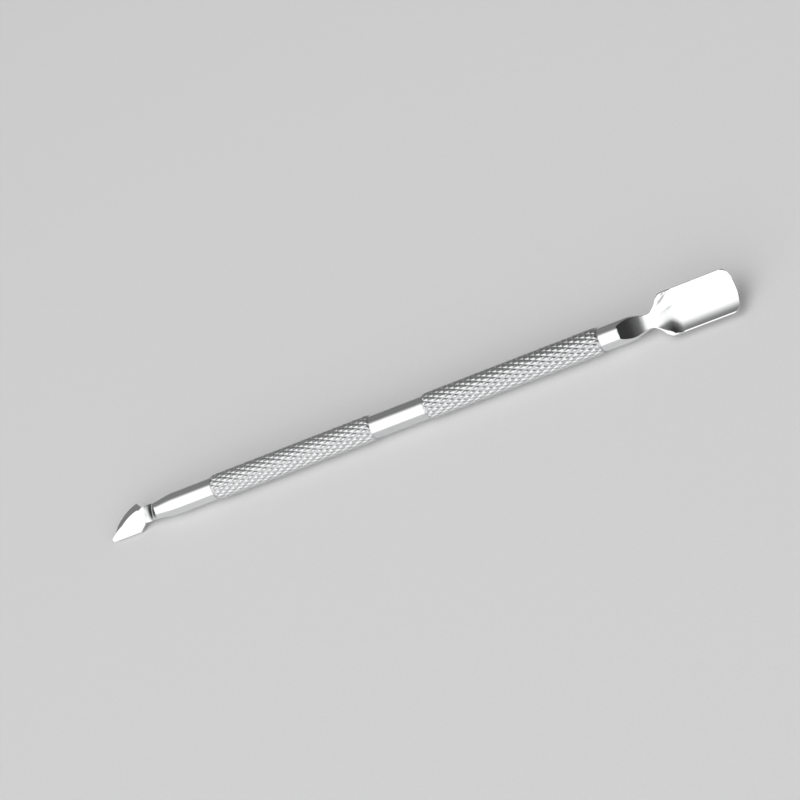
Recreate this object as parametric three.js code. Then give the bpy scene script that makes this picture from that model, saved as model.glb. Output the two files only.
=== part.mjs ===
// Double-ended cuticle pusher in polished stainless steel, lying on a table.
// Millimetres. X runs along the tool with the spoon at +X, Z is up, the table is z = 0.
// Three pieces: a knurled grip, a spoon tip and a cleaner blade tip. Each tip has a spigot
// that is pressed into a socket in the end of the grip.
import * as THREE from "three";
import { mergeVertices } from "three/addons/utils/BufferGeometryUtils.js";

// ---- grip -------------------------------------------------------------------------------
const GRIP_HALF = 40.5; // centre of the tool to the end face of the grip
const PLAIN_HALF = 5.4; // half length of the smooth band in the middle
const ROD_RADIUS = 2.265; // smooth band and both shanks
const CREST_RADIUS = 2.5; // knurl diamonds, at their points
const VALLEY_RADIUS = 2.3; // knurl grooves
const BAND_CHAMFER = 0.3; // slope at each end of a knurled band
const END_RADIUS = 2.285; // outer edge of the grip's end face
const KNURL_STARTS = 16; // grooves of each hand around the grip
const KNURL_ROWS = 32; // half pitches along one band
const SOCKET_RADIUS = 1.6;
const SOCKET_DEPTH = 9.8;
const DRILL_POINT = 0.9; // cone at the bottom of a socket

// ---- spigots and shanks -----------------------------------------------------------------
const SPIGOT_RADIUS = 1.55;
const SPIGOT_LENGTH = 9.4;
const SPIGOT_CHAMFER = 0.3;

// ---- how the tips are turned in the grip ------------------------------------------------
const TIP_ROLL = 36; // degrees about X, near edges of spoon and blade down
const AXIS_HEIGHT = CREST_RADIUS * Math.cos(Math.PI / (2 * KNURL_STARTS));

// ---- spoon, in its own frame: hollow side +Z --------------------------------------------
const SPOON_END = 65.9; // middle of the spoon's front edge
const SPOON_HALF_WIDTH = 3.97;
const SPOON_NECK = 1.5; // half width of the neck
const SCOOP_START = 43.95; // where the scooped facet cuts into the round shank
const SCOOP_EDGE = 44.1; // end of the small step with which it begins
const SCOOP_TOP = 1.98; // height of the step's foot over the tool's axis
const SCOOP_FOOT = 49.7; // where the facet runs out into the neck
const SCOOP_FLOOR = 1.0; // height of the neck's level top
const BOWL_FLOOR = 0.85; // the lowest line inside the bowl
const BOWL_DEPTH = 1.05; // how far the rims stand over it
const BOWL_CAMBER = 2.2; // exponent of the bowl's cross-section
const BOWL_START = 49.6; // the bowl sinks in between these two
const BOWL_FULL = 53.4;
const SPOON_LIFT = 0.4; // rise of the front edge
const HALF_SHEET = 0.28;
const RIM_ROUNDING = 0.32;
const SPOON_BULGE = 0.5; // how far the middle of the front edge stands ahead of its corners
const SPOON_CORNER = 1.35; // rounding of those corners
const CREASE_START = Math.asin(SCOOP_TOP / ROD_RADIUS);
const WALL_LOW = THREE.MathUtils.degToRad(-35); // round the shank, where its underside ends

// ---- cleaner blade, in its own frame: distances along the tool count toward the blade ----
const BLADE_TIP = 65.6;
const BLADE_NEAR = 2.9; // straight near edge, from the axis
const NECK_NEAR = 1.5;
const NECK_FAR = 1.65;
const NECK_RADIUS = 1.64; // the round shank tapers down to this
const NECK_FRONT = 57.3; // both flanks of the blade start here
const HEEL_SLOPE = 0.8; // near flank, from the neck out to the near edge
const HUMP_SLOPE = 0.85; // far flank, from the neck out to the cutting edge
const HUMP = 58.45; // where the cutting edge stands furthest from the axis
const EDGE_RADIUS = 11.6; // the convex cutting edge, seen from above
const EDGE_CENTRE = 56.05; // its centre along the tool
const EDGE_OFFSET = 8.72; // its centre, on the near side of the axis
const POINT_ROUNDING = 0.45; // length over which the near edge curves in at the point
const BLADE_TOP = -0.05; // the blade lies in the lower half of the shank
const BLADE_UNDER = -0.95;
const BEVEL_WIDTH = 1.3; // ground bevel along the cutting edge
const BEVEL_DROP = 0.78;
const BEVEL_RUNOUT = 3; // length over which the bevel narrows to nothing at the point
const NOTCH_START = 53.7; // where the crescent notch cuts into the round shank
const NOTCH_FOOT = 57.45; // where it runs out into the neck
const NOTCH_FLOOR = 0.1; // height of the neck's top there
const NECK_CROWN = 0.3; // how much lower its side edges are than its middle

const RING = 48; // corners of a tip's cross-section
const SIDE = RING / 8; // those on one side wall

const clamp01 = (t) => Math.min(1, Math.max(0, t));
const lerp = (a, b, t) => a + (b - a) * t;

/** 0 before a, 1 after b, smooth between. */
function ease(x, a, b) {
  const t = clamp01((x - a) / (b - a));
  return t * t * (3 - 2 * t);
}

/** A round ring of corners in a plane across the tool; radius may depend on the corner. */
function circle(x, radius, corners, turn = 0) {
  return Array.from({ length: corners }, (_, i) => {
    const angle = turn + (i / corners) * 2 * Math.PI;
    const r = typeof radius === "function" ? radius(i) : radius;
    return [x, r * Math.cos(angle), r * Math.sin(angle)];
  });
}

/**
 * The closed skin through a list of rings, ordered along the body. Neighbouring rings have the
 * same number of corners, or one has twice the other's, or one is a single point. A last ring
 * with corners is closed by a strip between its upper and lower half.
 */
function skin(rings) {
  const position = [];
  const index = [];
  const start = [];
  for (const ring of rings) {
    start.push(position.length / 3);
    for (const p of ring) position.push(...p);
  }
  const tri = (a, b, c, flip) => index.push(...(flip ? [a, b, c] : [a, c, b]));
  for (let k = 0; k + 1 < rings.length; k++) {
    const [na, nb] = [rings[k].length, rings[k + 1].length];
    const flip = na > nb;
    const [few, many] = [Math.min(na, nb), Math.max(na, nb)];
    const [sf, sm] = flip ? [start[k + 1], start[k]] : [start[k], start[k + 1]];
    const F = (j) => sf + (j % few);
    const M = (j) => sm + (j % many);
    if (few === 1) {
      for (let j = 0; j < many; j++) tri(sf, M(j), M(j + 1), flip);
    } else if (few === many) {
      for (let j = 0; j < few; j++) {
        if ((j + k) % 2) {
          tri(F(j), M(j), M(j + 1), false);
          tri(F(j), M(j + 1), F(j + 1), false);
        } else {
          tri(F(j), M(j), F(j + 1), false);
          tri(F(j + 1), M(j), M(j + 1), false);
        }
      }
    } else {
      for (let j = 0; j < few; j++) {
        tri(F(j), M(2 * j), M(2 * j + 1), flip);
        tri(F(j), M(2 * j + 1), F(j + 1), flip);
        tri(F(j + 1), M(2 * j + 1), M(2 * j + 2), flip);
      }
    }
  }
  const last = rings.at(-1).length;
  const from = start.at(-1);
  for (let i = 0; i < Math.floor(last / 2); i++) {
    const [upper, nextUpper, lower] = [from + i, from + i + 1, from + last - i - 1];
    if (nextUpper !== lower) tri(upper, nextUpper, lower, true);
    if (i > 0) tri(upper, lower, lower + 1, true);
  }
  const geometry = new THREE.BufferGeometry();
  geometry.setAttribute("position", new THREE.Float32BufferAttribute(position, 3));
  geometry.setIndex(index);
  return mergeVertices(geometry, 1e-5);
}

// ---- grip -------------------------------------------------------------------------------

/**
 * A bar with two diamond-knurled bands. A diamond's point and the crossing of two grooves take
 * turns around each row, and each row is turned by one corner from the last.
 */
function gripGeometry() {
  const corners = 2 * KNURL_STARTS;
  // half a corner of turn puts a flat between two crest rows under the grip
  const turn = Math.PI / corners;
  const rings = [];
  const point = (x) => rings.push([[x, 0, 0]]);
  const smooth = (x, r) => rings.push(circle(x, r, 2 * corners, turn));
  const socket = (x) => rings.push(circle(x, SOCKET_RADIUS, corners, turn));
  const knurl = (from, to) => {
    for (let row = 0; row <= KNURL_ROWS; row++) {
      const parity = rings.length;
      const radius = (i) => ((i + parity) % 2 ? VALLEY_RADIUS : CREST_RADIUS);
      rings.push(circle(lerp(from, to, row / KNURL_ROWS), radius, corners, turn));
    }
  };
  const floor = GRIP_HALF - SOCKET_DEPTH;
  point(DRILL_POINT - floor);
  socket(-floor);
  socket(-GRIP_HALF);
  smooth(-GRIP_HALF, END_RADIUS);
  knurl(BAND_CHAMFER - GRIP_HALF, -BAND_CHAMFER - PLAIN_HALF);
  smooth(-PLAIN_HALF, ROD_RADIUS);
  smooth(PLAIN_HALF, ROD_RADIUS);
  knurl(PLAIN_HALF + BAND_CHAMFER, GRIP_HALF - BAND_CHAMFER);
  smooth(GRIP_HALF, END_RADIUS);
  socket(GRIP_HALF);
  socket(floor);
  point(floor - DRILL_POINT);
  return skin(rings);
}

// ---- parts of both tips -----------------------------------------------------------------

/** Spigot and shoulder of a tip, from the spigot's end to the shoulder. */
function spigotRings() {
  const end = GRIP_HALF - SPIGOT_LENGTH;
  return [
    [[end, 0, 0]],
    circle(end, SPIGOT_RADIUS - SPIGOT_CHAMFER, RING),
    circle(end + SPIGOT_CHAMFER, SPIGOT_RADIUS, RING),
    circle(GRIP_HALF, SPIGOT_RADIUS, RING),
    circle(GRIP_HALF, ROD_RADIUS, RING),
  ];
}

/** An arc from height `top` at `start` down to the height `floor`, level at `foot`. */
function scoopHeight(x, start, foot, top, floor) {
  const drop = top - floor;
  const radius = ((foot - start) ** 2 + drop ** 2) / (2 * drop);
  const back = THREE.MathUtils.clamp(foot - x, 0, foot - start);
  return floor + radius - Math.sqrt(radius ** 2 - back ** 2);
}

/**
 * Where round a shank the side edges of its scoop lie. Before the scoop it is only where the
 * mesh changes from side wall to top.
 */
function creaseAngle(x, start, sine) {
  const along = (x - GRIP_HALF) / (start - GRIP_HALF);
  if (x <= start) return lerp(Math.PI / 4, CREASE_START, along);
  return Math.min(CREASE_START, Math.asin(sine));
}

// ---- spoon tip --------------------------------------------------------------------------

/** Half width of shank, neck and spoon. */
function spoonHalfWidth(x) {
  const neck = lerp(ROD_RADIUS, SPOON_NECK, ease(x, 45.8, 49.4));
  return lerp(neck, SPOON_HALF_WIDTH, ease(x, 49.6, 53.1));
}

/** Half width of the hollow, which opens a little later than the spoon's outline. */
function bowlHalfWidth(x) {
  return lerp(SPOON_NECK, SPOON_HALF_WIDTH, ease(x, 49.8, 55.2));
}

/**
 * One cross-section, from round shank to bent sheet: a side wall, the top face between its two
 * creases, the other side wall and the underside. `half` is its half width, `sheet` the share
 * of its thickness, `bulge` how far its middle stands ahead of x.
 */
function spoonRing(x, half = spoonHalfWidth(x), sheet = 1, bulge = 0) {
  const flatness = ease(x, 46.3, 53.5);
  const full = bowlHalfWidth(x);
  const lift = SPOON_LIFT * clamp01((x - 55) / (SPOON_END - 55)) ** 2;
  const depth = BOWL_DEPTH * ease(x, BOWL_START, BOWL_FULL);
  const scooped = scoopHeight(x, SCOOP_EDGE, SCOOP_FOOT, SCOOP_TOP, SCOOP_FLOOR);
  const floor = scooped + (BOWL_FLOOR - SCOOP_FLOOR) * ease(x, 49, 55.5);
  const crease = creaseAngle(x, SCOOP_START, floor / ROD_RADIUS);
  const creaseY = lerp(half * Math.cos(crease), half - RIM_ROUNDING, flatness);
  const inside = (y) => floor + lift + depth * Math.min(1, Math.abs(y / full)) ** BOWL_CAMBER;
  const topHeight = (y) => inside(y) - HALF_SHEET * (1 - sheet);

  const rawWall = (t) => {
    const turn = lerp(WALL_LOW, crease, t);
    const angle = (t * Math.PI) / 2;
    const rimY = half - RIM_ROUNDING * (1 - Math.cos(angle));
    const y = lerp(half * Math.cos(turn), rimY, flatness);
    const rim = inside(y) - HALF_SHEET * (1 - sheet * Math.sin(angle));
    return [y, lerp(ROD_RADIUS * Math.sin(turn), rim, flatness)];
  };
  // the wall ends on the edge of the top face
  const gap = x > SCOOP_START ? topHeight(creaseY) - rawWall(1)[1] : 0;
  const wall = (t) => {
    const [y, z] = rawWall(t);
    return [y, z + t ** 2 * gap];
  };
  const top = (t) => {
    if (x <= SCOOP_START) {
      const angle = lerp(crease, Math.PI - crease, t);
      return [half * Math.cos(angle), ROD_RADIUS * Math.sin(angle)];
    }
    const y = creaseY * (1 - 2 * t);
    return [y, topHeight(y)];
  };
  const under = (t) => {
    const angle = lerp(-Math.PI - WALL_LOW, WALL_LOW, t);
    const y = -half * Math.cos(t * Math.PI);
    const bent = inside(y) - HALF_SHEET * (1 + sheet * Math.sin(t * Math.PI) ** 0.25);
    return [
      lerp(half * Math.cos(angle), y, flatness),
      lerp(ROD_RADIUS * Math.sin(angle), bent, flatness),
    ];
  };
  const outline = [];
  for (let i = 0; i < SIDE; i++) outline.push(wall(i / SIDE));
  for (let i = 0; i < 2 * SIDE; i++) outline.push(top(i / (2 * SIDE)));
  for (let i = SIDE; i > 0; i--) {
    const [y, z] = wall(i / SIDE);
    outline.push([-y, z]);
  }
  for (let i = 0; i < 4 * SIDE; i++) outline.push(under(i / (4 * SIDE)));
  return outline.map(([y, z]) => [x + bulge * (1 - (y / half) ** 2), y, z]);
}

function spoonGeometry() {
  const side = SPOON_END - SPOON_BULGE - SPOON_CORNER;
  const bulge = (x) => SPOON_BULGE * ease(x, 57, side + SPOON_CORNER);
  const rings = spigotRings();
  for (const x of [41.5, 42.8, SCOOP_START, SCOOP_EDGE]) rings.push(spoonRing(x));
  for (let x = 44.6; x < 56.5; x += 0.45) rings.push(spoonRing(x));
  for (let x = 57.5; x < 63.9; x += 1.25) {
    rings.push(spoonRing(x, spoonHalfWidth(x), 1, bulge(x)));
  }
  const steps = 7;
  for (let q = 0; q <= steps; q++) {
    const angle = ((q / steps) * Math.PI) / 2;
    const x = side + SPOON_CORNER * Math.sin(angle);
    const half = SPOON_HALF_WIDTH - SPOON_CORNER * (1 - Math.cos(angle));
    rings.push(spoonRing(x, half, Math.sqrt(1 - 0.85 * (q / steps) ** 6), bulge(x)));
  }
  return skin(rings);
}

// ---- blade tip, built along +X with its near edge at +Y, then turned round ---------------

function bladeNear(u) {
  const heel = NECK_NEAR + HEEL_SLOPE * (u - NECK_FRONT);
  const rounding = 0.3 * clamp01(1 - (BLADE_TIP - u) / POINT_ROUNDING) ** 2;
  return Math.max(NECK_NEAR, Math.min(BLADE_NEAR - rounding, heel));
}

function bladeFar(u) {
  const ahead = Math.max(0, u - EDGE_CENTRE);
  const edge = Math.sqrt(EDGE_RADIUS ** 2 - ahead ** 2) - EDGE_OFFSET;
  const flank = NECK_FAR + HUMP_SLOPE * (u - NECK_FRONT);
  return Math.min(edge, Math.max(NECK_FAR, flank));
}

/** Radius of the round shank behind the blade. */
function bladeShank(u) {
  return lerp(ROD_RADIUS, NECK_RADIUS, ease(u, 49.5, 55.5));
}

/** One cross-section: from round shank through the notched neck to the flat blade. */
function bladeRing(u) {
  const half = bladeShank(u);
  const start = bladeShank(NOTCH_START);
  const settled = ease(u, 56, HUMP);
  const notched = scoopHeight(u, NOTCH_START, NOTCH_FOOT, start, NOTCH_FLOOR);
  const over = notched + (BLADE_TOP - NOTCH_FLOOR) * settled;
  const under = -scoopHeight(u, NOTCH_START, NOTCH_FOOT, start, -BLADE_UNDER);
  const crown = NECK_CROWN * ease(u, NOTCH_START, NOTCH_START + 0.6);
  const upper = creaseAngle(u, NOTCH_START, Math.min(1, (over - crown) / half));
  const lower = -creaseAngle(u, NOTCH_START, Math.min(1, (-under - crown) / half));
  const flatness = ease(u, 56.6, 57.9);
  const near = bladeNear(u);
  const far = bladeFar(u);
  const grown = ease(u, NECK_FRONT - 0.4, HUMP);
  const share = grown * clamp01((BLADE_TIP - u) / BEVEL_RUNOUT) ** 0.7;
  const bevel = Math.max(BEVEL_WIDTH * share, 0.04);
  const edge = BLADE_TOP - BEVEL_DROP * lerp(0.5, 1, share) * grown;
  const nearMiddle = (BLADE_TOP + BLADE_UNDER) / 2;
  const farMiddle = (edge + BLADE_UNDER) / 2;
  const blend = (a, b) => [lerp(a[0], b[0], flatness), lerp(a[1], b[1], flatness)];

  // each wall starts at the shank's side and ends at a crease
  const round = (t, crease) => {
    const angle = lerp((upper + lower) / 2, crease, t);
    return [half * Math.cos(angle), half * Math.sin(angle)];
  };
  const nearWall = (t, crease, end) => blend(round(t, crease), [near, lerp(nearMiddle, end, t)]);
  const farWall = (t, crease, corner) => {
    const [y, z] = round(t, crease);
    return blend([-y, z], corner);
  };
  const bevelWall = (t) => {
    const upright = [-far, lerp(farMiddle, edge, 2 * t)];
    const ground = [lerp(-far, bevel - far, 2 * t - 1), lerp(edge, BLADE_TOP, 2 * t - 1)];
    return farWall(t, upper, t < 0.5 ? upright : ground);
  };
  const face = (t, side, crease, height, level, farY) => {
    if (u <= NOTCH_START) {
      const angle = lerp(crease, side * Math.PI - crease, t);
      return [half * Math.cos(angle), half * Math.sin(angle)];
    }
    const across = 1 - 2 * t;
    const chord = [half * Math.cos(crease) * across, height - side * crown * across ** 2];
    return blend(chord, [lerp(near, farY, t), level]);
  };
  const outline = [];
  for (let i = 0; i < SIDE; i++) outline.push(nearWall(i / SIDE, upper, BLADE_TOP));
  for (let i = 0; i < 2 * SIDE; i++) {
    outline.push(face(i / (2 * SIDE), 1, upper, over, BLADE_TOP, bevel - far));
  }
  for (let i = SIDE; i > 0; i--) outline.push(bevelWall(i / SIDE));
  for (let i = 0; i < SIDE; i++) {
    outline.push(farWall(i / SIDE, lower, [-far, lerp(farMiddle, BLADE_UNDER, i / SIDE)]));
  }
  for (let i = 2 * SIDE; i > 0; i--) {
    outline.push(face(i / (2 * SIDE), -1, lower, under, BLADE_UNDER, -far));
  }
  for (let i = SIDE; i > 0; i--) outline.push(nearWall(i / SIDE, lower, BLADE_UNDER));
  return outline.map(([y, z]) => [u, y, z]);
}

function bladeGeometry() {
  const rings = spigotRings();
  for (let u = 42; u < 53; u += 1.3) rings.push(bladeRing(u));
  for (let u = NOTCH_START; u < HUMP; u += 0.3) rings.push(bladeRing(u));
  const steps = 22;
  for (let i = 0; i <= steps; i++) rings.push(bladeRing(lerp(HUMP, BLADE_TIP, i / steps)));
  const middle = (BLADE_TOP + BLADE_UNDER) / 2;
  rings.push([[BLADE_TIP, (bladeNear(BLADE_TIP) - bladeFar(BLADE_TIP)) / 2, middle]]);
  return skin(rings).rotateZ(Math.PI);
}

// ---- assembly ---------------------------------------------------------------------------

const polished = new THREE.MeshStandardMaterial({
  name: "polished_steel",
  color: 0xc9cbcd,
  roughness: 0.12,
  metalness: 1,
});
const knurled = new THREE.MeshStandardMaterial({
  name: "knurled_steel",
  color: 0xbfc1c3,
  roughness: 0.22,
  metalness: 1,
});

function piece(name, geometry, material, parent) {
  geometry.computeVertexNormals();
  const mesh = new THREE.Mesh(geometry, material);
  mesh.name = name;
  parent.add(mesh);
}

const tool = new THREE.Group();
tool.name = "cuticle_pusher";
tool.position.z = AXIS_HEIGHT;
const tips = new THREE.Group();
tips.name = "tips";
tips.rotation.x = THREE.MathUtils.degToRad(TIP_ROLL);
tool.add(tips);
piece("grip", gripGeometry(), knurled, tool);
piece("spoon_tip", spoonGeometry(), polished, tips);
piece("blade_tip", bladeGeometry(), polished, tips);

// the origin is the middle of the footprint, on the table
tool.updateMatrixWorld(true);
const middle = new THREE.Box3().setFromObject(tool, true).getCenter(new THREE.Vector3());
tool.position.x -= middle.x;
tool.position.y -= middle.y;

export default tool;
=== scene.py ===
"""The looks of a double-ended cuticle pusher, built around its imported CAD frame.

Shapes are worked out in millimetres in the tool's own frame: X along the tool's axis with
the spoon at +X, and for each tip its hollow or flat side +Z before the tip is rolled.
"""

import math

import bmesh
import bpy
from mathutils import Matrix, Vector


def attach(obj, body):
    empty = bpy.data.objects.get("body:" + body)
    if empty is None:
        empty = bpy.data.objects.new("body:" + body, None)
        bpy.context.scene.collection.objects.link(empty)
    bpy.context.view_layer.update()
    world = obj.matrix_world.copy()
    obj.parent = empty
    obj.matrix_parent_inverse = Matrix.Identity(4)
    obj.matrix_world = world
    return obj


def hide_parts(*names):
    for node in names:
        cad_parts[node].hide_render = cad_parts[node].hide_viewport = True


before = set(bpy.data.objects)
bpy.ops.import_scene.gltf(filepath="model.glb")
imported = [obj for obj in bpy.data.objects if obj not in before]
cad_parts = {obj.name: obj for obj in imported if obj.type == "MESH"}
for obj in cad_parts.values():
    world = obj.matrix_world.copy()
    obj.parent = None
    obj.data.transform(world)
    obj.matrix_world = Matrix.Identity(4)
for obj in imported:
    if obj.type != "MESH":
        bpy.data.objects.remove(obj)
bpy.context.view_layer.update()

MM = 0.001
TOOL_ORIGIN = Vector((-0.15, 0.8375185, 2.4879618))  # the tool's own origin in the row frame
TIP_ROLL = math.radians(36)  # near edges of spoon and blade down

# grip
GRIP_HALF = 40.5
PLAIN_HALF = 5.4
ROD_RADIUS = 2.265
CREST_RADIUS = 2.49  # a touch under the CAD, whose rows have fewer corners
VALLEY_RADIUS = 2.3
END_RADIUS = 2.285
BAND_CHAMFER = 0.3
KNURL_CORNERS = 32  # diamond points and groove crossings round one row
KNURL_ROWS = 32  # half pitches along one band
KNURL_FINE = 5  # mesh steps across half a diamond
KNURL_SHAPE = (-0.05, 0.8)  # heights where a diamond's flank starts and flattens out
SOCKET_RADIUS = 1.6
SOCKET_DEPTH = 9.8
DRILL_POINT = 0.9
SPIGOT_RADIUS = 1.55
SPIGOT_LENGTH = 9.4
SPIGOT_CHAMFER = 0.3

# spoon
SPOON_END = 65.9
SPOON_HALF_WIDTH = 3.965  # 0.005 under the CAD
SPOON_NECK = 1.5
SCOOP_START = 43.95
SCOOP_FOOT = 49.7
SCOOP_EDGE = 44.1  # end of the small step with which the scoop begins
SCOOP_TOP = 1.98  # height of the step's foot over the tool's axis
SCOOP_FLOOR = 1.0  # the level neck at the scoop's foot
BOWL_FLOOR = 0.85  # the lowest line inside the bowl
BOWL_DEPTH = 1.05
BOWL_CAMBER = 2.2
BOWL_START = 49.6
BOWL_FULL = 53.4
SPOON_NARROWS = (45.8, 49.4)  # from shank to neck
SPOON_WIDENS = (49.6, 53.1)  # from neck to spoon
BOWL_WIDENS = (49.8, 55.2)
BOWL_SINKS = (49.0, 55.5)  # the floor falls from the neck's height to the bowl's
SPOON_FLATTENS = (46.3, 53.5)  # from round shank to bent sheet
LIFT_START = 55
BULGE_START = 57
CORNER_THINNING = 0.85  # how much of the sheet is ground away at the front edge
SPOON_LIFT = 0.398  # 0.002 under the CAD
HALF_SHEET = 0.28
RIM_ROUNDING = 0.32
SPOON_BULGE = 0.5
SPOON_CORNER = 1.35
CREASE_START = math.asin(SCOOP_TOP / ROD_RADIUS)
CREASE_ROUNDING = 0.1
WALL_LOW = math.radians(-35)  # where round the shank its underside meets its side walls

# blade, counted along the tool toward its point
BLADE_TIP = 65.6
BLADE_NEAR = 2.9
NECK_NEAR = 1.5
NECK_FAR = 1.65
NECK_RADIUS = 1.64
NECK_FRONT = 57.3
HEEL_SLOPE = 0.8
HUMP_SLOPE = 0.85
HUMP = 58.45
EDGE_RADIUS = 11.6
EDGE_CENTRE = 56.05
EDGE_OFFSET = 8.72
POINT_ROUNDING = 0.45
BLADE_TOP = -0.05  # the blade lies in the lower half of the shank
BLADE_UNDER = -0.95
BEVEL_WIDTH = 1.3
BEVEL_DROP = 0.78
BEVEL_RUNOUT = 3.0
NOTCH_START = 53.7
NOTCH_FOOT = 57.45
NOTCH_FLOOR = 0.1  # height of the neck's top there
NECK_CROWN = 0.3  # how much lower its side edges are than its middle
SHANK_TAPER = (49.5, 55.5)
BLADE_SETTLES = (56.0, HUMP)  # the neck's top falls to the blade's
BLADE_FLATTENS = (56.6, 57.9)
POINT_DEPTH = 0.3  # how far the near edge curves in at the point
EDGE_BREAK = 0.07  # rounding of the blade's blunt edges

RING = 160  # corners of a tip's cross-section


def clamp01(t):
    return min(1.0, max(0.0, t))


def lerp(a, b, t):
    return a + (b - a) * t


def ease(x, a, b):
    """0 before a, 1 after b, smooth between."""
    t = clamp01((x - a) / (b - a))
    return t * t * (3 - 2 * t)


def steps(a, b, count):
    """count + 1 numbers from a to b."""
    return [lerp(a, b, i / count) for i in range(count + 1)]


def circle(x, radius, corners, turn=0.0):
    angles = [turn + i / corners * math.tau for i in range(corners)]
    return [(x, radius * math.cos(a), radius * math.sin(a)) for a in angles]


# ---- meshes ------------------------------------------------------------------------------


def build(name, rings, roll=0.0, turn_round=False, crease_deg=24.0, diagonals=False):
    """A closed skin through rings ordered along the body, as an object in the row frame.

    Rings have equal numbers of corners, except single points. A last ring with corners is
    closed by a strip between its upper and lower half.
    """
    place = Matrix.Scale(MM, 4) @ Matrix.Translation(TOOL_ORIGIN) @ Matrix.Rotation(roll, 4, "X")
    if turn_round:
        place = place @ Matrix.Rotation(math.pi, 4, "Z")
    bm = bmesh.new()
    rows = [[bm.verts.new(place @ Vector(p)) for p in ring] for ring in rings]
    for k, (here, there) in enumerate(zip(rows, rows[1:])):
        count = max(len(here), len(there))
        for j in range(count):
            n = (j + 1) % count
            if len(here) == 1:
                bm.faces.new((here[0], there[n], there[j]))
            elif len(there) == 1:
                bm.faces.new((here[j], here[n], there[0]))
            elif diagonals and diagonals(k, j):
                bm.faces.new((here[j], here[n], there[n]))
                bm.faces.new((here[j], there[n], there[j]))
            elif diagonals:
                bm.faces.new((here[j], here[n], there[j]))
                bm.faces.new((here[n], there[n], there[j]))
            else:
                bm.faces.new((here[j], here[n], there[n], there[j]))
    last = rows[-1]
    for i in range(len(last) // 2):
        corners = [last[i], last[i + 1], last[-i - 1], last[-i]]
        face = [v for a, v in enumerate(corners) if v not in corners[:a]]
        bm.faces.new(face)
    bm.normal_update()
    limit = math.radians(crease_deg)
    for edge in bm.edges:
        edge.smooth = edge.calc_face_angle(0.0) < limit
    for face in bm.faces:
        face.smooth = True
    mesh = bpy.data.meshes.new(name)
    bm.to_mesh(mesh)
    bm.free()
    obj = bpy.data.objects.new(name, mesh)
    bpy.context.scene.collection.objects.link(obj)
    return obj


# ---- grip --------------------------------------------------------------------------------


def diamond(along, around):
    """Height share of the knurl, 0 in a groove and 1 on a point, at a place counted in rows
    along the band and corners round it."""
    a, b = along % 1.0, around % 1.0
    if (math.floor(along) + math.floor(around)) % 2:
        a = 1.0 - a
    height = abs(1.0 - a - b)
    return ease(height, *KNURL_SHAPE)


def grip():
    fine = KNURL_CORNERS * KNURL_FINE
    turn = math.pi / KNURL_CORNERS
    rings = []

    def plain(x, radius):
        rings.append(circle(x, radius, fine, turn))

    def knurl(x_from, x_to, row_parity):
        """One band. Its ends slope down to the rod."""
        for i, x in enumerate(steps(x_from, x_to, KNURL_ROWS * KNURL_FINE)):
            end = min(x - x_from, x_to - x)
            fade = ease(end, -0.02, BAND_CHAMFER)
            ring = []
            for j in range(fine):
                share = diamond(i / KNURL_FINE + row_parity, j / KNURL_FINE)
                radius = lerp(VALLEY_RADIUS, CREST_RADIUS, share)
                radius = lerp(END_RADIUS, radius, fade)
                angle = turn + j / fine * math.tau
                ring.append((x, radius * math.cos(angle), radius * math.sin(angle)))
            rings.append(ring)

    floor = GRIP_HALF - SOCKET_DEPTH
    rings.append([(DRILL_POINT - floor, 0, 0)])
    plain(-floor, SOCKET_RADIUS)
    plain(-GRIP_HALF, SOCKET_RADIUS)
    plain(-GRIP_HALF, ROD_RADIUS)
    plain(-GRIP_HALF, END_RADIUS)
    starts = [len(rings)]
    knurl(BAND_CHAMFER - GRIP_HALF, -BAND_CHAMFER - PLAIN_HALF, 0)
    plain(-PLAIN_HALF, ROD_RADIUS)
    for x in steps(-PLAIN_HALF + 0.1, PLAIN_HALF - 0.1, 12):
        plain(x, ROD_RADIUS)
    plain(PLAIN_HALF, ROD_RADIUS)
    starts.append(len(rings))
    knurl(PLAIN_HALF + BAND_CHAMFER, GRIP_HALF - BAND_CHAMFER, 1)
    plain(GRIP_HALF, END_RADIUS)
    plain(GRIP_HALF, ROD_RADIUS)
    plain(GRIP_HALF, SOCKET_RADIUS)
    plain(floor, SOCKET_RADIUS)
    rings.append([(floor - DRILL_POINT, 0, 0)])

    def diagonals(k, j):
        """Which way a mesh cell is split, so that grooves run along edges."""
        band = int(k >= starts[1])
        return ((k - starts[band]) // KNURL_FINE + j // KNURL_FINE + band) % 2 == 1

    return build("grip_knurled", rings, diagonals=diagonals, crease_deg=60.0)


# ---- tips --------------------------------------------------------------------------------


def spigot_rings():
    end = GRIP_HALF - SPIGOT_LENGTH
    return [
        [(end, 0, 0)],
        circle(end, SPIGOT_RADIUS - SPIGOT_CHAMFER, RING),
        circle(end + SPIGOT_CHAMFER, SPIGOT_RADIUS, RING),
        circle(GRIP_HALF, SPIGOT_RADIUS, RING),
        circle(GRIP_HALF, ROD_RADIUS, RING),
    ]


def scoop_radius(start, foot, top, flat):
    """Radius of the arc from a height of top down to its level foot."""
    drop = top - flat
    return ((foot - start) ** 2 + drop**2) / (2 * drop)


def scoop_height(x, start, foot, top, flat):
    radius = scoop_radius(start, foot, top, flat)
    back = min(max(0.0, foot - x), foot - start)
    return flat + radius - math.sqrt(radius**2 - back**2)


def scoop_stations(start, foot, top, flat, count):
    radius = scoop_radius(start, foot, top, flat)
    sweep = math.asin((foot - start) / radius)
    return [foot - radius * math.sin(a) for a in steps(sweep, 0, count)[1:]]


def crease_angle(x, start, sine):
    """Where round the shank the scoop's side edges lie; before the scoop it is only where
    the mesh changes from wall to top."""
    if x <= start:
        return lerp(math.pi / 4, CREASE_START, (x - GRIP_HALF) / (start - GRIP_HALF))
    return min(CREASE_START, math.asin(sine))


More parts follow.
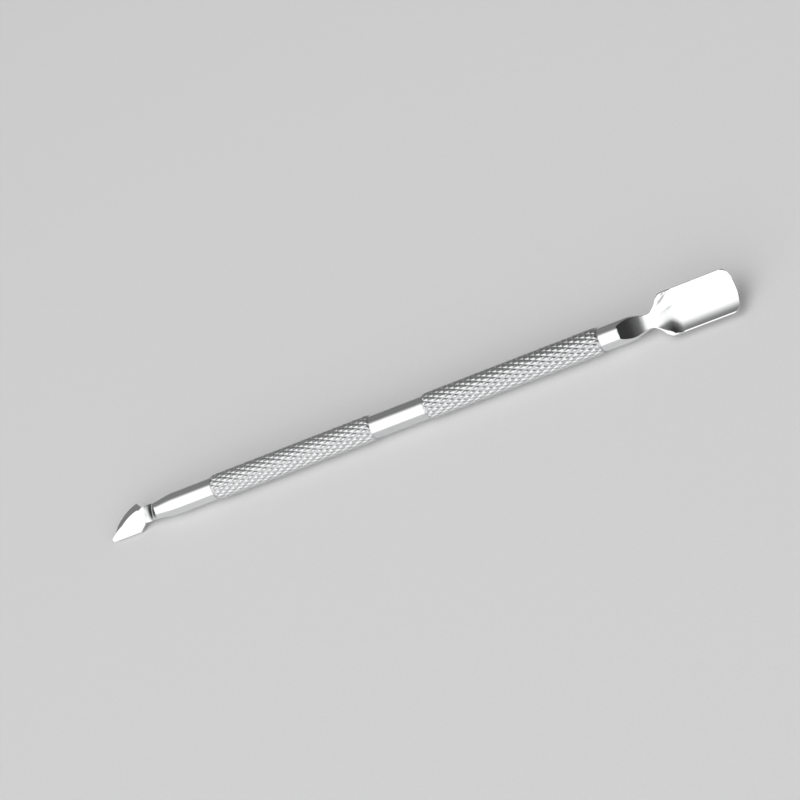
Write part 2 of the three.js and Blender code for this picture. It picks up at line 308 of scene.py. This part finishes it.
def spoon_half_width(x):
    neck = lerp(ROD_RADIUS, SPOON_NECK, ease(x, *SPOON_NARROWS))
    return lerp(neck, SPOON_HALF_WIDTH, ease(x, *SPOON_WIDENS))


def bowl_half_width(x):
    """Half width of the hollow, which opens a little later than the spoon's outline."""
    return lerp(SPOON_NECK, SPOON_HALF_WIDTH, ease(x, *BOWL_WIDENS))


def spoon_ring(x, half=None, sheet=1.0, bulge=0.0):
    """From round shank to bent sheet: side wall, top, other side wall, underside."""
    half = spoon_half_width(x) if half is None else half
    side = RING // 8
    flatness = ease(x, *SPOON_FLATTENS)
    full = bowl_half_width(x)
    lift = SPOON_LIFT * clamp01((x - LIFT_START) / (SPOON_END - LIFT_START)) ** 2
    depth = BOWL_DEPTH * ease(x, BOWL_START, BOWL_FULL)
    floor = scoop_height(x, SCOOP_EDGE, SCOOP_FOOT, SCOOP_TOP, SCOOP_FLOOR)
    floor += (BOWL_FLOOR - SCOOP_FLOOR) * ease(x, *BOWL_SINKS)
    soft = CREASE_ROUNDING * (1 - flatness)
    crease = crease_angle(x, SCOOP_START, (floor - soft) / ROD_RADIUS)
    crease_y = lerp(half * math.cos(crease), half - RIM_ROUNDING, flatness)
    soft_width = min(1.5 * soft + 0.01, crease_y)

    def inside(y):
        return floor + lift + depth * min(1.0, abs(y / full)) ** BOWL_CAMBER

    def top_height(y):
        reach = clamp01((abs(y) - crease_y + soft_width) / soft_width)
        return inside(y) - HALF_SHEET * (1 - sheet) - soft * (1 - math.sqrt(1 - reach**2))

    def raw_wall(t):
        turn = lerp(WALL_LOW, crease, t)
        angle = t * math.pi / 2
        y = lerp(half * math.cos(turn), half - RIM_ROUNDING * (1 - math.cos(angle)), flatness)
        rim = inside(y) - HALF_SHEET * (1 - sheet * math.sin(angle))
        return y, lerp(ROD_RADIUS * math.sin(turn), rim, flatness)

    gap = top_height(crease_y) - raw_wall(1)[1] if x > SCOOP_START else 0.0

    def wall(t):
        y, z = raw_wall(t)
        return y, z + t**2 * gap

    def top(t):
        if x <= SCOOP_START:
            angle = lerp(crease, math.pi - crease, t)
            return half * math.cos(angle), ROD_RADIUS * math.sin(angle)
        y = crease_y * (1 - 2 * t)
        return y, top_height(y)

    def under(t):
        angle = lerp(-math.pi - WALL_LOW, WALL_LOW, t)
        y = -half * math.cos(t * math.pi)
        bent = inside(y) - HALF_SHEET * (1 + sheet * math.sin(t * math.pi) ** 0.25)
        round_y, round_z = half * math.cos(angle), ROD_RADIUS * math.sin(angle)
        return lerp(round_y, y, flatness), lerp(round_z, bent, flatness)

    outline = [wall(i / side) for i in range(side)]
    outline += [top(i / (2 * side)) for i in range(2 * side)]
    outline += [(-y, z) for y, z in (wall(i / side) for i in range(side, 0, -1))]
    outline += [under(2 * i / RING) for i in range(RING // 2)]
    return [(x + bulge * (1 - (y / half) ** 2), y, z) for y, z in outline]


def spoon():
    side = SPOON_END - SPOON_BULGE - SPOON_CORNER

    def bulge(x):
        return SPOON_BULGE * ease(x, BULGE_START, side + SPOON_CORNER)

    rings = spigot_rings()
    rings += [spoon_ring(x) for x in steps(GRIP_HALF, SCOOP_START, 12)[1:]]
    rings.append(spoon_ring(SCOOP_EDGE))
    arc = (SCOOP_EDGE, SCOOP_FOOT, SCOOP_TOP, SCOOP_FLOOR)
    rings += [spoon_ring(x) for x in scoop_stations(*arc, 60)]
    rings += [spoon_ring(x) for x in steps(SCOOP_FOOT, 54.5, 50)[1:]]
    rings += [spoon_ring(x, bulge=bulge(x)) for x in steps(54.5, side - 0.1, 36)[1:]]
    for q in steps(0, 1, 18):
        angle = q * math.pi / 2
        x = side + SPOON_CORNER * math.sin(angle)
        half = SPOON_HALF_WIDTH - SPOON_CORNER * (1 - math.cos(angle))
        sheet = math.sqrt(1 - CORNER_THINNING * q**6)
        rings.append(spoon_ring(x, half, sheet, bulge(x)))
    return build("spoon_polished", rings, roll=TIP_ROLL)


def blade_near(u):
    heel = NECK_NEAR + HEEL_SLOPE * (u - NECK_FRONT)
    rounding = POINT_DEPTH * clamp01(1 - (BLADE_TIP - u) / POINT_ROUNDING) ** 2
    return max(NECK_NEAR, min(BLADE_NEAR - rounding, heel))


def blade_far(u):
    ahead = max(0.0, u - EDGE_CENTRE)
    edge = math.sqrt(EDGE_RADIUS**2 - ahead**2) - EDGE_OFFSET
    flank = NECK_FAR + HUMP_SLOPE * (u - NECK_FRONT)
    return min(edge, max(NECK_FAR, flank))


def blade_shank(u):
    return lerp(ROD_RADIUS, NECK_RADIUS, ease(u, *SHANK_TAPER))


def blade_ring(u):
    """From round shank through the crescent notch to the flat blade; near edge at +Y."""
    side = RING // 8
    half = blade_shank(u)
    start = blade_shank(NOTCH_START)
    over = scoop_height(u, NOTCH_START, NOTCH_FOOT, start, NOTCH_FLOOR)
    over += (BLADE_TOP - NOTCH_FLOOR) * ease(u, *BLADE_SETTLES)
    under = -scoop_height(u, NOTCH_START, NOTCH_FOOT, start, -BLADE_UNDER)
    crown = NECK_CROWN * ease(u, NOTCH_START, NOTCH_START + 0.6)
    upper = crease_angle(u, NOTCH_START, min(1.0, (over - crown) / half))
    lower = -crease_angle(u, NOTCH_START, min(1.0, (-under - crown) / half))
    flatness = ease(u, *BLADE_FLATTENS)
    near, far = blade_near(u), blade_far(u)
    grown = ease(u, NECK_FRONT - 0.4, HUMP)
    share = grown * clamp01((BLADE_TIP - u) / BEVEL_RUNOUT) ** 0.7
    soft = min(EDGE_BREAK, (near + far) / 3)
    bevel = max(BEVEL_WIDTH * share, soft / 2)
    edge = BLADE_TOP - BEVEL_DROP * lerp(0.5, 1.0, share) * grown
    middle = (BLADE_TOP + BLADE_UNDER) / 2
    far_middle = (edge + BLADE_UNDER) / 2

    def blend(a, b):
        return lerp(a[0], b[0], flatness), lerp(a[1], b[1], flatness)

    def round_wall(t, crease):
        angle = lerp((upper + lower) / 2, crease, t)
        return half * math.cos(angle), half * math.sin(angle)

    def near_wall(t, crease, end):
        """Upright, then rounded over into the face at height end."""
        reach = end - middle
        if t < 0.5:
            flat = near, middle + 2 * t * (reach - math.copysign(soft, reach))
        else:
            angle = (t - 0.5) * math.pi
            back = soft * (1 - math.sin(angle))
            flat = near - soft * (1 - math.cos(angle)), end - math.copysign(back, reach)
        return blend(round_wall(t, crease), flat)

    def far_wall(t, crease, flat):
        y, z = round_wall(t, crease)
        return blend((-y, z), flat)

    def bevel_wall(t):
        if t < 0.5:
            flat = -far, lerp(far_middle, edge, 2 * t)
        else:
            flat = lerp(-far, bevel - far, 2 * t - 1), lerp(edge, BLADE_TOP, 2 * t - 1)
        return far_wall(t, upper, flat)

    def face(t, sign, crease, height, level, far_y):
        if u <= NOTCH_START:
            angle = lerp(crease, sign * math.pi - crease, t)
            return half * math.cos(angle), half * math.sin(angle)
        across = 1 - 2 * t
        chord = half * math.cos(crease) * across, height - sign * crown * across**2
        return blend(chord, (lerp(near - soft, far_y, t), level))

    outline = [near_wall(i / side, upper, BLADE_TOP) for i in range(side)]
    for i in range(2 * side):
        outline.append(face(i / (2 * side), 1, upper, over, BLADE_TOP, bevel - far))
    outline += [bevel_wall(i / side) for i in range(side, 0, -1)]
    for i in range(side):
        flat = -far, lerp(far_middle, BLADE_UNDER, i / side)
        outline.append(far_wall(i / side, lower, flat))
    for i in range(2 * side, 0, -1):
        outline.append(face(i / (2 * side), -1, lower, under, BLADE_UNDER, -far))
    outline += [near_wall(i / side, lower, BLADE_UNDER) for i in range(side, 0, -1)]
    return [(u, y, z) for y, z in outline]


def blade():
    rings = spigot_rings()
    rings += [blade_ring(u) for u in steps(GRIP_HALF, NOTCH_START, 40)[1:]]
    arc = (NOTCH_START, NOTCH_FOOT, blade_shank(NOTCH_START), NOTCH_FLOOR)
    rings += [blade_ring(u) for u in scoop_stations(*arc, 48)]
    rings += [blade_ring(u) for u in steps(NOTCH_FOOT, BLADE_TIP, 110)[1:]]
    across = (blade_near(BLADE_TIP) - blade_far(BLADE_TIP)) / 2
    rings.append([(BLADE_TIP, across, (BLADE_TOP + BLADE_UNDER) / 2)])
    return build("blade_polished", rings, roll=TIP_ROLL, turn_round=True)


# ---- materials ---------------------------------------------------------------------------


class Nodes:
    """Short hand for one material's or world's node tree."""

    def __init__(self, tree):
        self.tree = tree
        tree.nodes.clear()

    def add(self, kind, inputs=None, **settings):
        node = self.tree.nodes.new(kind)
        for key, value in settings.items():
            setattr(node, key, value)
        for key, value in (inputs or {}).items():
            if isinstance(value, bpy.types.NodeSocket):
                self.tree.links.new(value, node.inputs[key])
            else:
                node.inputs[key].default_value = value
        return node

    def math(self, operation, *values, clamp=False):
        node = self.add("ShaderNodeMath", dict(enumerate(values)), operation=operation)
        node.use_clamp = clamp
        return node.outputs[0]

    def remap(self, value, low, high, to_low=0.0, to_high=1.0, smooth=False):
        inputs = {0: value, 1: low, 2: high, 3: to_low, 4: to_high}
        kind = "SMOOTHSTEP" if smooth else "LINEAR"
        return self.add("ShaderNodeMapRange", inputs, interpolation_type=kind).outputs[0]

    def mix(self, factor, a, b):
        return self.add("ShaderNodeMix", {0: factor, 6: a, 7: b}, data_type="RGBA").outputs[2]

    def place(self, scale):
        """Object coordinates in millimetres from the tool's axis, stretched by scale."""
        where = self.add("ShaderNodeTexCoord").outputs["Object"]
        origin = tuple(-v * s for v, s in zip(TOOL_ORIGIN, scale))
        scale = tuple(s / MM for s in scale)
        inputs = {"Vector": where, "Location": origin, "Scale": scale}
        return self.add("ShaderNodeMapping", inputs).outputs["Vector"]

    def noise(self, scale, detail=2.0, roughness=0.5):
        inputs = {"Vector": self.place(scale), "Scale": 1.0}
        inputs |= {"Detail": detail, "Roughness": roughness}
        return self.add("ShaderNodeTexNoise", inputs).outputs[0]

    def bump(self, height, distance, strength=1.0, normal=None):
        inputs = {"Height": height, "Distance": distance * MM, "Strength": strength}
        if normal:
            inputs["Normal"] = normal
        return self.add("ShaderNodeBump", inputs).outputs[0]


def steel(name, base, roughness, deepen):
    """Polished stainless steel. deepen adds what is particular to a piece: it is given the
    nodes, the colour and the roughness, and returns a new colour, roughness and a height."""
    material = bpy.data.materials.new(name)
    material.use_nodes = True
    n = Nodes(material.node_tree)
    cloud = n.noise((0.35, 0.9, 0.9), detail=3.0)
    smear = n.noise((0.8, 6.0, 6.0), detail=4.0)
    colour = n.mix(n.remap(cloud, 0.3, 0.7), (*[0.95 * c for c in base], 1), (*base, 1))
    rough = n.remap(smear, 0.3, 0.7, 0.8 * roughness, 1.3 * roughness)
    colour, rough, height = deepen(n, colour, rough)
    hairlines = n.bump(n.noise((0.6, 60.0, 60.0), detail=2.0), 0.0004)
    normal = n.bump(height, 0.004, normal=hairlines)
    inputs = {"Base Color": colour, "Roughness": rough, "Metallic": 1.0, "Normal": normal}
    shader = n.add("ShaderNodeBsdfPrincipled", inputs)
    n.add("ShaderNodeOutputMaterial", {"Surface": shader.outputs[0]})
    return material


def knurl_groove_shade(n, colour, rough):
    """Painted shade darkens the knurl's grooves and leaves its points at the steel's colour, and
    the grooves are rougher;
    the plain band between the knurls stays polished.
    """
    split = n.add("ShaderNodeSeparateXYZ", {0: n.place((1.0, 1.0, 1.0))})
    x, y, z = split.outputs[0], split.outputs[1], split.outputs[2]
    banded = n.remap(n.math("ABSOLUTE", x), PLAIN_HALF, PLAIN_HALF + BAND_CHAMFER)
    squares = n.math("ADD", n.math("MULTIPLY", y, y), n.math("MULTIPLY", z, z))
    depth = n.remap(n.math("SQRT", squares), VALLEY_RADIUS, CREST_RADIUS)
    grime = n.noise((3.0, 3.0, 3.0), detail=4.0)
    crest_share = n.math("ADD", depth, n.remap(grime, 0.3, 0.7, -0.12, 0.12), clamp=True)
    # painted shade: grooves take a darker grey (0.52), points keep the steel's colour; the grime
    # noise only moves the edge between them at random
    groove_shaded_colour = n.mix(n.remap(crest_share, 0.0, 0.5), (0.52, 0.52, 0.53, 1), colour)
    tinted = n.mix(banded, colour, groove_shaded_colour)
    dull = n.remap(crest_share, 0.0, 0.8, 0.26, 0.17)
    rough = n.math("ADD", rough, n.math("MULTIPLY", dull, banded))
    return tinted, rough, n.math("MULTIPLY", grime, banded)


def ground_facet(n, colour, rough):
    """Fine, faint grinding lines across the tool."""
    lines = n.noise((9.0, 0.5, 0.5), detail=3.0)
    rough = n.math("ADD", rough, n.remap(lines, 0.35, 0.75, 0.0, 0.03))
    return colour, rough, lines


polished = steel("polished_steel", (0.80, 0.805, 0.81), 0.075, ground_facet)
knurled = steel("knurled_steel", (0.74, 0.745, 0.75), 0.085, knurl_groove_shade)

# ---- pieces ------------------------------------------------------------------------------

for piece, node, material, slot in (
    (grip(), "grip", knurled, "knurled_steel"),
    (spoon(), "spoon_tip", polished, "polished_steel"),
    (blade(), "blade_tip", polished, "polished_steel"),
):
    piece.data.materials.append(material)
    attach(piece, "root")
    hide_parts(node)

# ---- floor, light and camera --------------------------------------------------------------


def table_top():
    """A pale matt table, wide enough to fill every view."""
    bm = bmesh.new()
    bmesh.ops.create_grid(bm, x_segments=8, y_segments=8, size=3.0)
    mesh = bpy.data.meshes.new("table_top")
    bm.to_mesh(mesh)
    bm.free()
    top = bpy.data.objects.new("table_top", mesh)
    bpy.context.scene.collection.objects.link(top)
    material = bpy.data.materials.new("pale_table")
    material.use_nodes = True
    n = Nodes(material.node_tree)
    speckle = n.noise((2.0, 2.0, 2.0), detail=3.0)
    colour = n.mix(n.remap(speckle, 0.3, 0.7), (0.80, 0.80, 0.80, 1), (0.82, 0.82, 0.82, 1))
    inputs = {"Base Color": colour, "Roughness": 0.5}
    shader = n.add("ShaderNodeBsdfPrincipled", inputs)
    n.add("ShaderNodeOutputMaterial", {"Surface": shader.outputs[0]})
    mesh.materials.append(material)
    return top


table_top()


def studio():
    """A soft box that reaches from the table on the near left side to overhead, dim walls."""
    world = bpy.data.worlds.new("studio")
    bpy.context.scene.world = world
    world.use_nodes = True
    n = Nodes(world.node_tree)
    way = n.add("ShaderNodeTexCoord").outputs["Generated"]
    split = n.add("ShaderNodeSeparateXYZ", {0: way})
    x, y, z = split.outputs[0], split.outputs[1], split.outputs[2]
    # the box ends at a dark left strip and at a right edge that moves out near the table
    left = n.remap(x, -0.97, -0.80, smooth=True)
    around = n.remap(z, 0.40, 0.62, 1.3, 0.0, smooth=True)
    right = n.remap(n.math("SUBTRACT", x, around), -0.20, -0.03, 1.0, 0.0, smooth=True)
    near = n.remap(y, -0.22, 0.34, 1.0, 0.0, smooth=True)
    box = n.math("MULTIPLY", n.math("MULTIPLY", left, right), near)
    # the walls are darkest high on the right and at the far left
    flag = n.remap(x, -0.2, 0.25, smooth=True)
    flag = n.math("MULTIPLY", flag, n.remap(z, 0.45, 0.70, smooth=True))
    end = n.remap(x, -1.0, -0.85, 1.0, 0.0, smooth=True)
    wall = n.remap(n.math("MAXIMUM", flag, end), 0.0, 1.0, 0.25, 0.045)
    light = n.math("ADD", wall, n.math("MULTIPLY", box, 1.25))
    background = n.add("ShaderNodeBackground", {0: (1, 1, 1, 1), 1: light})
    n.add("ShaderNodeOutputWorld", {0: background.outputs[0]})


def overhead():
    """A wide soft light straight above that no polished face mirrors."""
    data = bpy.data.lights.new("overhead", "AREA")
    data.shape = "DISK"
    data.size = 1.2
    data.energy = 3.0
    lamp = bpy.data.objects.new("overhead", data)
    lamp.location = (-0.1, -0.2, 0.9)
    lamp.visible_glossy = False
    bpy.context.scene.collection.objects.link(lamp)


def camera():
    """Looks down at the tool from the spoon side, turned so that the blade is lower left."""
    azimuth, elevation = math.radians(32.0), math.radians(46.0)
    turn = math.radians(45.37)
    distance = 338.0
    along, left, rise_by = 1.16, 1.087, 2.673  # millimetres that centre the tool
    back = Vector(
        (
            math.sin(azimuth) * math.cos(elevation),
            -math.cos(azimuth) * math.cos(elevation),
            math.sin(elevation),
        )
    )
    level = Vector((math.cos(azimuth), math.sin(azimuth), 0.0))
    rise = back.cross(level)
    right = math.cos(turn) * level - math.sin(turn) * rise
    up = math.sin(turn) * level + math.cos(turn) * rise
    target = TOOL_ORIGIN + Vector((along, 0, 0))
    where = target + back * distance - right * left + up * rise_by
    data = bpy.data.cameras.new("camera")
    data.sensor_width = 36.0
    data.lens = 83.65
    data.clip_start = 0.01
    obj = bpy.data.objects.new("camera", data)
    facing = Matrix((right, up, back)).transposed().to_4x4()
    obj.matrix_world = Matrix.Translation(where * MM) @ facing
    bpy.context.scene.collection.objects.link(obj)
    bpy.context.scene.camera = obj


studio()
overhead()
camera()
bpy.context.scene.view_settings.view_transform = "Standard"
